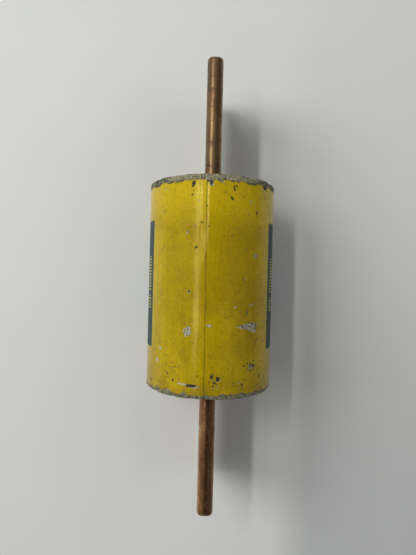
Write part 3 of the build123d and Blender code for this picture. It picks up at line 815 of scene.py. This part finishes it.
def casing_profile():
    """(along, radius) points round the tube's wall, from the left bore edge outward and back."""
    seat = TUBE_RADIUS - SEAT_DEPTH
    inner, outer = BORE_RADIUS + BORE_CHAMFER, TUBE_RADIUS - RIM_RADIUS
    half = [(TUBE_END, inner + step * (outer - inner) / RIM_STEPS) for step in range(RIM_STEPS)]
    for turn in quarter_turns(RIM_STEPS):
        along = TUBE_END - RIM_RADIUS * (1 - math.cos(turn))
        half.append((along, TUBE_RADIUS - RIM_RADIUS * (1 - math.sin(turn))))
    mouth = TUBE_END - BORE_CHAMFER
    left = [(-mouth, BORE_RADIUS)] + [(-x, r) for x, r in half]
    left += [(-TUBE_END + RIM_RADIUS + 0.25, TUBE_RADIUS), (LABEL_LEFT - 0.05, TUBE_RADIUS)]
    label = LABEL_RIGHT - LABEL_LEFT
    floor = [(LABEL_LEFT + label * step / SEAT_STEPS, seat) for step in range(SEAT_STEPS + 1)]
    right = [(LABEL_RIGHT + 0.05, TUBE_RADIUS)]
    right += [(LABEL_RIGHT + step * 0.45, TUBE_RADIUS) for step in range(1, 4)]
    right += [(x, r) for x, r in reversed(half)] + [(mouth, BORE_RADIUS)]
    bore = [(mouth - step * 2 * mouth / BORE_STEPS, BORE_RADIUS) for step in range(1, BORE_STEPS)]
    return left + floor + right + bore


def rim_wear(x, angle, radius, chips):
    """How far a point of the bare rims is worn in towards the axis and back from the tube's end."""
    spot = on_tube(x, angle, radius)
    inward = pitted(0.10, spot, 0.45, 2) + pitted(0.05, spot, 1.3)
    backward = pitted(0.12, spot + Vector((9, 0, 0)), 0.5, 2)
    for side, where, size, depth in chips:
        apart = (angle - where + 180) % 360 - 180
        reach = (math.radians(apart) * TUBE_RADIUS / size) ** 2
        reach += ((TUBE_RADIUS - radius) / CHIP_SPREAD) ** 2 + ((TUBE_END - abs(x)) / CHIP_SPREAD) ** 2
        if side * x > 0 and reach < 9:
            inward += depth * math.exp(-reach)
            backward += depth * math.exp(-reach)
    return inward, backward


def casing_shell():
    """The tube with worn, chipped rims and a seat for the label."""
    picker = random.Random(8)
    profile = casing_profile()
    chips = []
    for _ in range(RIM_CHIPS):
        where = (picker.choice((-1, 1)), picker.uniform(0, 360))
        chips.append((*where, picker.uniform(0.5, 1.7), picker.uniform(0.10, 0.45)))
    points = []
    for x, radius in profile:
        bare = abs(x) > LABEL_RIGHT + 0.02 and radius > BORE_RADIUS + 0.1
        for step in range(CASING_STEPS):
            angle = step * 360 / CASING_STEPS
            inward, backward = rim_wear(x, angle, radius, chips) if bare else (0.0, 0.0)
            points.append(on_tube(x - math.copysign(backward, x), angle, radius - inward))
    faces = strip_faces(len(profile), CASING_STEPS, closed_rows=True, closed_columns=True)
    piece = make_piece("casing_shell", points, faces, [laminate_material()], "casing_tube", crease=50)
    for node in ("left_retaining_pins", "right_retaining_pins"):
        cut_with(piece, node)


def weld(mesh, distance):
    """Joins a mesh's points that lie within a distance in millimetres, and turns its faces outward."""
    shape = bmesh.new()
    shape.from_mesh(mesh)
    bmesh.ops.remove_doubles(shape, verts=shape.verts, dist=distance * MM)
    bmesh.ops.recalc_face_normals(shape, faces=shape.faces)
    shape.to_mesh(mesh)
    shape.free()


def cut_with(piece, node):
    """Cuts a CAD node's shape out of a piece."""
    cutter = bpy.data.objects.new("cutter", frame["nodes"][node].data.copy())
    bpy.context.scene.collection.objects.link(cutter)
    weld(cutter.data, 0.001)
    cut = piece.modifiers.new("pin_holes", "BOOLEAN")
    cut.object = cutter
    cut.solver = "EXACT"
    bpy.context.view_layer.update()
    graph = bpy.context.evaluated_depsgraph_get()
    result = bpy.data.meshes.new_from_object(piece.evaluated_get(graph))
    piece.modifiers.clear()
    piece.data = result
    bpy.data.objects.remove(cutter)


# ---- blades
BLADE_STEP = 1.0
ACROSS_STEPS = 36
CORNER_STEPS = 8
EDGE_STEPS = 9
SLOT_STEPS = 18
FLAT_GRID = (1.6, 1.45)
# Nicks in the blades by end: along, Y, Z, size and depth, all as if on the right.
BLADE_NICKS = {
    1: ((66.0, -2.4, 20.25, 0.9, 0.35), (88.5, 2.0, 19.0, 1.1, 0.30), (75.0, 1.5, 20.6, 0.7, 0.12)),
    -1: ((57.5, -1.9, 20.45, 0.8, 0.30), (87.0, -1.0, 20.3, 1.2, 0.20), (70.0, 2.3, 19.8, 0.8, 0.12)),
}


def blade_outline(level):
    """Outline of the exposed blade in (along, across) at a level (side inset, tip inset, Y)."""
    half = BLADE_HALF_WIDTH - level[0]
    tip = BLADE_TIP - level[1]
    corner = max(BLADE_CORNER - level[1], 0.5)
    count = int((BLADE_TIP - PLUG_FACE) / BLADE_STEP)
    lower = [(PLUG_FACE + (tip - corner - PLUG_FACE) * step / count, -half) for step in range(count)]
    for turn in quarter_turns(CORNER_STEPS):
        lower.append((tip - corner + corner * math.sin(turn), -half + corner - corner * math.cos(turn)))
    flat = half - corner
    across = [(tip, -flat + 2 * flat * step / ACROSS_STEPS) for step in range(1, ACROSS_STEPS)]
    return lower + across + [(x, -z) for x, z in reversed(lower)]


def slot_outline(grow):
    """Outline of the mounting slot in (along, across), grown by an offset."""
    radius = SLOT_HALF_WIDTH + grow
    points = []
    for side in (1, -1):
        for step in range(SLOT_STEPS + 1):
            angle = -math.pi / 2 + math.pi * step / SLOT_STEPS
            out = side * (SLOT_HALF_STRAIGHT + radius * math.cos(angle))
            points.append((SLOT_X + out, side * radius * math.sin(angle)))
    return points


def edge_inset(y, radius):
    """How far an edge rounded to a radius has turned in at a height within the blade's thickness."""
    over = max(y - (BLADE_HALF_THICK - radius), 0.0)
    return radius - math.sqrt(max(radius * radius - over * over, 0.0))


def blade_levels():
    """(side inset, tip inset, Y) of the loops round the blade's rounded edge, from -Y to +Y."""
    upper = []
    for turn in quarter_turns(EDGE_STEPS):
        y = BLADE_HALF_THICK - BLADE_EDGE + BLADE_EDGE * math.sin(turn)
        upper.append((edge_inset(y, BLADE_EDGE), edge_inset(y, BLADE_TIP_EDGE), y))
    return [(side, tip, -y) for side, tip, y in reversed(upper)] + upper


def add_loops(points, faces, loops, inward):
    """Adds a band of faces through loops given as (outline, Y), facing out of or into them."""
    start = len(points)
    for outline, y in loops:
        points += [(x, y, z) for x, z in outline]
    for quad in strip_faces(len(loops), len(loops[0][0]), closed_columns=True):
        faces.append(shifted(quad if inward else quad[::-1], start))


def exposed_blade(points, faces):
    """Adds the rounded bar outside the plug, with its slot, as a closed shape."""
    add_loops(points, faces, [(blade_outline(level), level[2]) for level in blade_levels()], inward=False)
    lip = BLADE_HALF_THICK - SLOT_BEVEL
    bore = ((SLOT_BEVEL, -BLADE_HALF_THICK), (0.0, -lip), (0.0, lip), (SLOT_BEVEL, BLADE_HALF_THICK))
    add_loops(points, faces, [(slot_outline(grow), y) for grow, y in bore], inward=True)

    grid = []
    for i in range(1, int((BLADE_TIP - PLUG_FACE) / FLAT_GRID[0])):
        for j in range(-12, 13):
            x, z = PLUG_FACE + i * FLAT_GRID[0], j * FLAT_GRID[1]
            apart = math.hypot(max(abs(x - SLOT_X) - SLOT_HALF_STRAIGHT, 0), z)
            if x < BLADE_TIP - BLADE_EDGE - 0.6 and apart > SLOT_HALF_WIDTH + SLOT_BEVEL + 0.6:
                grid.append((x, z))
    corners, triangles = triangulate(grid, [blade_outline(blade_levels()[0]), slot_outline(SLOT_BEVEL)])
    for side in (1, -1):
        start = len(points)
        points += [(x, side * BLADE_HALF_THICK, z) for x, z in corners]
        for face, owner in triangles:
            if 0 in owner and 1 not in owner:
                faces.append(shifted(face[::-1] if side > 0 else face, start))


def tang(points, faces, forked):
    """Adds the tang inside the plug: one flat bar, or a fork with two prongs."""
    fork = [(TANG_END, PRONG_INNER), (WASHER_INNER, PRONG_INNER)]
    fork += [(x, -z) for x, z in reversed(fork)]
    half = TANG_HALF_WIDTH
    outline = [(PLUG_FACE, -half), (PLUG_FACE, half), (TANG_END, half)]
    outline += (fork if forked else []) + [(TANG_END, -half)]
    start, count = len(points), len(outline)
    add_loops(points, faces, [(outline, -TANG_HALF_THICK), (outline, TANG_HALF_THICK)], inward=False)
    faces.append(shifted(range(count), start))
    faces.append(shifted(reversed(range(count)), start + count))


def worn(point, side):
    """Moves a point of the blade inward by rolling marks, small dents and the nicks."""
    spot = Vector(point)
    if spot.x < PLUG_FACE + 0.5:
        return spot
    dent = pitted(0.03, spot + Vector((0, 0, 40 * side)), 0.22, 2) + pitted(0.006, spot * side, 0.9)
    for x, y, z, size, depth in BLADE_NICKS[side]:
        apart = (spot - Vector((x, y, z))).length / size
        if apart < 3:
            dent += depth * math.exp(-apart * apart)
    inward = Vector((BLADE_TIP - BLADE_EDGE - 1, 0, BLADE_HALF_WIDTH - BLADE_EDGE - 1))
    core = Vector((min(spot.x, inward.x), 0, max(min(spot.z, inward.z), -inward.z)))
    toward = core - spot
    if toward.length < 0.01:
        return spot
    return spot + toward.normalized() * min(dent, 0.5)


def blade_piece(side, material):
    """The blade of one end with its tang, worked out on the right and mirrored for the left."""
    points, faces = [], []
    exposed_blade(points, faces)
    tang(points, faces, forked=side < 0)
    moved = [worn(point, side) for point in points]
    if side < 0:
        moved = [Vector((-p.x, p.y, p.z)) for p in moved]
        faces = [face[::-1] for face in faces]
    name = "right_blade" if side > 0 else "left_blade"
    piece = make_piece(name + "_bar", moved, faces, [material], name, crease=38)
    weld(piece.data, WELD_DISTANCE)


# ---- braze beads
FOOT_ARC_STEPS = 12
FOOT_LINES_Y = 4
FOOT_LINES_Z = 44
BEAD_STEPS = 6


def foot_outline():
    """Section of the blade at the plug's face in (across Y, along Z), with outward normals."""
    flat_y, flat_z = BLADE_HALF_THICK - BLADE_EDGE, BLADE_HALF_WIDTH - BLADE_EDGE
    points = []
    for quarter, (sy, sz) in enumerate(((1, 1), (-1, 1), (-1, -1), (1, -1))):
        for turn in quarter_turns(FOOT_ARC_STEPS):
            ny, nz = math.cos(turn + quarter * math.pi / 2), math.sin(turn + quarter * math.pi / 2)
            points.append(((sy * flat_y + BLADE_EDGE * ny, sz * flat_z + BLADE_EDGE * nz), (ny, nz)))
        across_y = quarter % 2 == 0
        lines = FOOT_LINES_Y if across_y else FOOT_LINES_Z
        for step in range(1, lines):
            share = 1 - 2 * step / lines
            if across_y:
                points.append(((sy * flat_y * share, sz * BLADE_HALF_WIDTH), (0.0, sz)))
            else:
                points.append(((sy * BLADE_HALF_THICK, sz * flat_z * share), (sy, 0.0)))
    return points


def braze_bead(side, material):
    """A lumpy concave bead of braze between the blade's foot and the plug's face."""
    sections = foot_outline()
    points = []
    for (y, z), (ny, nz) in sections:
        leg = BEAD_LEG * (0.88 + 0.22 * smooth_noise((y + 30 * side, z, 5), 0.28, 2))
        height = BEAD_LEG * (0.82 + 0.25 * smooth_noise((y, z + 30 * side, 9), 0.24, 2))
        for turn in quarter_turns(BEAD_STEPS):
            out = leg * (1 - math.sin(turn))
            up = height * (1 - math.cos(turn))
            points.append((side * (PLUG_FACE + up), y + ny * out, z + nz * out))
        points.append((side * PLUG_FACE, y - ny * 0.1, z - nz * 0.1))
    faces = strip_faces(len(sections), BEAD_STEPS + 2, closed_rows=True, closed_columns=True)
    end = "right" if side > 0 else "left"
    piece = make_piece(end + "_braze_bead", points, faces, [material], end + "_braze_fillet", crease=60)
    weld(piece.data, WELD_DISTANCE)


# ---- spring
WIRE_SIDES = 14
STEPS_PER_TURN = 40
CLOSED_END_EASE = 0.085


def spring_coil(material):
    """The trigger spring as drawn wire with closed ends; it stretches as the plunger moves."""
    centre_radius = SPRING_HIGH[1] - WIRE_RADIUS
    low, high = SPRING_LOW[0] + WIRE_RADIUS, SPRING_HIGH[0] - WIRE_RADIUS
    steps = int(SPRING_TURNS * STEPS_PER_TURN)
    line = []
    for step in range(steps + 1):
        share = step / steps
        eased = share - CLOSED_END_EASE * math.sin(2 * math.pi * share)
        line.append(on_tube(low + (high - low) * eased, 360 * SPRING_TURNS * share, centre_radius))
    points = []
    for step, centre in enumerate(line):
        ahead = (line[min(step + 1, steps)] - line[max(step - 1, 0)]).normalized()
        outward = Vector((0, centre.y, centre.z)).normalized()
        third = ahead.cross(outward).normalized()
        radius = WIRE_RADIUS * (0.8 if step in (0, steps) else 1.0)
        for side in range(WIRE_SIDES):
            angle = 2 * math.pi * side / WIRE_SIDES
            points.append(centre + (outward * math.cos(angle) + third * math.sin(angle)) * radius)
    faces = strip_faces(len(line), WIRE_SIDES, closed_columns=True)
    faces.append(tuple(reversed(range(WIRE_SIDES))))
    faces.append(shifted(range(WIRE_SIDES), steps * WIRE_SIDES))
    name = "trigger_spring"
    piece = make_piece(name + "_coil", points, faces, [material], name, body=None, crease=50)
    weld(piece.data, WELD_DISTANCE)
    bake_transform(piece)


# ---- stage
# Lamps in metres and watts: name, place, target, width, height, power, colour, seen in reflections.
LIGHTS = (
    ("window", (0.20, 0.62, 0.58), (0.01, 0, 0), 0.46, 0.46, 3.8, (0.99, 1.0, 0.985), False),
    ("ceiling", (0.20, 0.35, 0.80), (0.20, 0, 0), 0.80, 0.045, 1.5, (1.0, 0.97, 0.85), True),
    ("ceiling_near", (0.36, 0.35, 0.80), (0.36, 0, 0), 0.34, 0.040, 0.9, (1.0, 0.98, 0.88), True),
    ("fill", (0.05, -0.55, 0.40), (0.0, 0, 0), 0.60, 0.60, 0.9, (1.0, 0.98, 0.95), False),
)
TABLE_SIZE = 6
ROOM_DIM = 0.17
ROOM_BRIGHT = 0.55
ROOM_BRIGHT_SIDE = (0.6, 0.8, 0.0)
ROOM_COLOR = (0.93, 0.94, 0.95)
CARD_PLACE = (-0.065, 0.0, 0.20)
CARD_SIZE = (0.27, 0.13, 1.0)
CAMERA_PLACE = (0.0035, 0.0003, 0.1853)
CAMERA_ROLL = 1.42
CAMERA_YAW = 0.22
VIEW_HEIGHT_OVER_DISTANCE = 1.31829


def area_light(name, spot, target, width, height, power, color, mirrored):
    """A rectangular lamp aimed at a target, with its width level and as near to X as it can be."""
    data = bpy.data.lights.new(name, "AREA")
    data.shape = "RECTANGLE"
    data.size, data.size_y = width, height
    data.energy, data.color = power, color
    lamp = bpy.data.objects.new(name, data)
    back = (Vector(spot) - Vector(target)).normalized()
    up = back.cross(Vector((1, 0, 0))).normalized()
    turn = Matrix((up.cross(back), up, back)).transposed()
    lamp.matrix_world = Matrix.Translation(spot) @ turn.to_4x4()
    lamp.visible_glossy = mirrored
    bpy.context.scene.collection.objects.link(lamp)


def dim_room():
    """Surroundings that are dim, and brightest near the horizon on the window's side."""
    world = bpy.data.worlds.new("studio")
    world.use_nodes = True
    tree = world.node_tree
    direction = add_node(tree, "TexCoord", {}, "Generated")
    toward = {0: direction, 1: ROOM_BRIGHT_SIDE}
    toward = add_node(tree, "VectorMath", toward, "Value", operation="DOT_PRODUCT")
    glow = {"Value": toward, "From Min": 0.1, "From Max": 0.95, "To Min": ROOM_DIM, "To Max": ROOM_BRIGHT}
    glow = add_node(tree, "MapRange", glow, "Result", interpolation_type="SMOOTHSTEP")
    background = tree.nodes["Background"]
    put(tree, background.inputs["Color"], ROOM_COLOR)
    put(tree, background.inputs["Strength"], glow)
    bpy.context.scene.world = world


def shade_card():
    """A dark card above the camera and unseen by it, which shades the left end and the table there."""
    bpy.ops.mesh.primitive_plane_add(size=1, location=CARD_PLACE)
    card = bpy.context.object
    card.name = "shade_card"
    card.scale = CARD_SIZE
    card.visible_camera = False
    card.data.materials.append(fibre_board("black_card", (0.02, 0.02, 0.02), (0.01, 0.01, 0.01)))


def studio():
    """The table, the lamps, the room's own light and the card."""
    bpy.ops.mesh.primitive_plane_add(size=TABLE_SIZE, location=(0, 0, -TUBE_RADIUS * MM))
    table = bpy.context.object
    table.name = "table"
    table.data.materials.append(floor_material())
    dim_room()
    for light in LIGHTS:
        area_light(*light)
    shade_card()
    bpy.context.scene.view_settings.view_transform = "Standard"


def photo_camera():
    """Camera straight above the fuse, with +X up the picture and the top leaning right."""
    data = bpy.data.cameras.new("photo_camera")
    data.sensor_width = 36.0
    data.lens = data.sensor_width / VIEW_HEIGHT_OVER_DISTANCE
    data.clip_start, data.clip_end = 0.01, 20
    camera = bpy.data.objects.new("photo_camera", data)
    roll = Matrix.Rotation(math.radians(CAMERA_ROLL - 90), 4, "Z")
    yaw = Matrix.Rotation(math.radians(CAMERA_YAW), 4, "Y")
    camera.matrix_world = Matrix.Translation(CAMERA_PLACE) @ roll @ yaw
    bpy.context.scene.collection.objects.link(camera)
    bpy.context.scene.camera = camera


for node, material in node_materials().items():
    mesh = frame["nodes"][node].data
    mesh.materials.clear()
    mesh.materials.append(material)

label_wrap()
casing_shell()
copper = blade_material()
braze = cast_metal("silver_braze", (0.52, 0.43, 0.28), (0.34, 0.26, 0.16), 0.8, 0.42)
for end in (-1, 1):
    blade_piece(end, copper)
    braze_bead(end, braze)
spring_coil(strip_metal("spring_wire", (0.46, 0.46, 0.46), (0.26, 0.27, 0.29), 0.32))
studio()
photo_camera()
